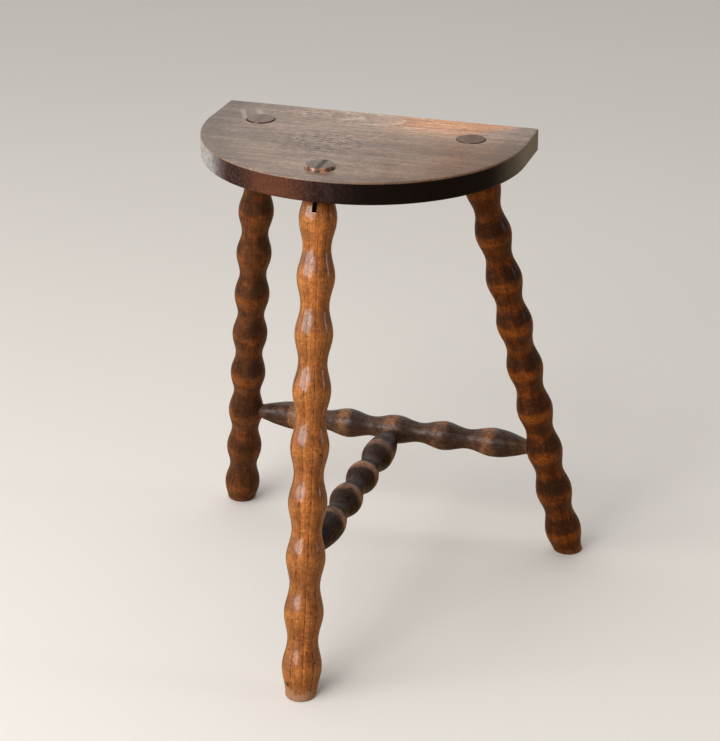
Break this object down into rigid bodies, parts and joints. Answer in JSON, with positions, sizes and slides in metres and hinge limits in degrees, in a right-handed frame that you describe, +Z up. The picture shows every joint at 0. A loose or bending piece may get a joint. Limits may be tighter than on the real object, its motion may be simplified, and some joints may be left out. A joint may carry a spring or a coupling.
{
  "type": "milking stool",
  "caption": "Low wooden stool with a D-shaped seat board, splayed bobbin-turned legs wedged through it, and turned stretchers between the legs.",
  "frame": {"origin": "on the floor, at the middle of the box round the whole stool", "axes": "+Z up; +X to the sitter's right, along the seat's straight back edge; -Y towards the curved front of the seat and the single front leg"},
  "size_m": [0.3874, 0.3784, 0.4643],
  "materials": {
    "seat_wood": "worn grey-brown stain, satin",
    "front_leg_wood": "honey-brown varnish, glossy, with dark lengthwise pores",
    "left_leg_wood": "dark brown stain worn to lighter rings, satin",
    "right_leg_wood": "dark brown stain worn to orange rings, glossy",
    "stretcher_wood": "near-black stain worn to orange on the bead crests, satin",
    "wedge_wood": "weathered grey-brown end grain"
  },
  "bodies": {
    "root": {"seat_board": "seat_wood", "front_leg": "front_leg_wood", "left_leg": "left_leg_wood", "right_leg": "right_leg_wood", "long_stretcher": "stretcher_wood", "short_stretcher": "stretcher_wood", "front_wedge": "wedge_wood", "left_wedge": "wedge_wood", "right_wedge": "wedge_wood"}
  },
  "joints": []
}
